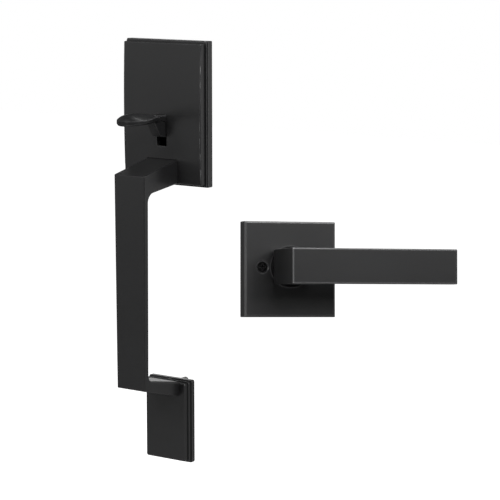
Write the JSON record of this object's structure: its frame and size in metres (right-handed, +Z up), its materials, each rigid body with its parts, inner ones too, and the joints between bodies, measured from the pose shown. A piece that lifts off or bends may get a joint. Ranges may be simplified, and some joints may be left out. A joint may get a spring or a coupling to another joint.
{
  "type": "entry door handleset",
  "caption": "Entry door handleset with an outside pull grip and thumb latch on stepped escutcheons, and an inside lever on a square rosette",
  "frame": {"origin": "centre of the door's cross bore on the door's outer face, behind the upper escutcheon", "axes": "+X right along the door seen from outside, +Y through the door from outside to inside, +Z up; the inside unit stands apart in front of the door's outer face, turned and tilted as shown"},
  "size_m": [0.3797, 0.2626, 0.3573],
  "materials": {
    "satin_black": "satin powder coat",
    "zinc_steel": "zinc plated",
    "spring_steel": "drawn wire",
    "dark_steel": "black oxide",
    "bronze": "sintered",
    "nylon": "moulded"
  },
  "bodies": {
    "set": {"upper_escutcheon": "satin_black", "grip": "satin_black", "grip_screws": "zinc_steel", "lower_escutcheon": "satin_black", "foot_post": "zinc_steel", "thumb_pin": "zinc_steel", "pin_clips": "zinc_steel", "chassis": "satin_black", "chassis_screws": "zinc_steel", "thumb_spring": "spring_steel", "hub_bushing": "bronze", "back_plate": "zinc_steel", "mounting_posts": "zinc_steel", "post_nuts": "zinc_steel", "rosette": "satin_black", "rosette_collar": "satin_black", "mounting_plate": "zinc_steel", "rosette_screws": "satin_black", "lever_spring": "spring_steel"},
    "thumb": {"thumb_piece": "satin_black"},
    "hub": {"spindle_hub": "zinc_steel", "hub_clip": "zinc_steel", "spindle": "zinc_steel", "spindle_pin": "zinc_steel"},
    "lever": {"lever": "satin_black", "lever_set_screw": "dark_steel", "drive_tube": "zinc_steel", "thrust_washer": "nylon", "snap_ring": "zinc_steel", "drive_cam": "zinc_steel"}
  },
  "joints": [
    {"name": "thumb_press", "type": "hinge", "parent": "set", "child": "thumb", "pos_m": [0, -0.0065, -0.009], "axis": [1, 0, 0], "range_deg": [0, 18], "stiffness_Nm_per_rad": 0.4, "springref_deg": -22.92, "deforming": ["thumb_spring"]},
    {"name": "hub_turn", "type": "hinge", "parent": "set", "child": "hub", "pos_m": [0, 0, 0], "axis": [0, -1, 0], "range_deg": [0, 24]},
    {"name": "lever_turn", "type": "hinge", "parent": "set", "child": "lever", "pos_m": [0.22723, -0.16595, -0.08663], "axis": [-0.7868, 0.5906, -0.1791], "range_deg": [0, 45], "stiffness_Nm_per_rad": 1.4, "springref_deg": -28.65, "deforming": ["lever_spring"]}
  ],
  "couplings": [
    {"joint": "hub_turn", "follows": "thumb_press", "ratio": 1.28}
  ]
}
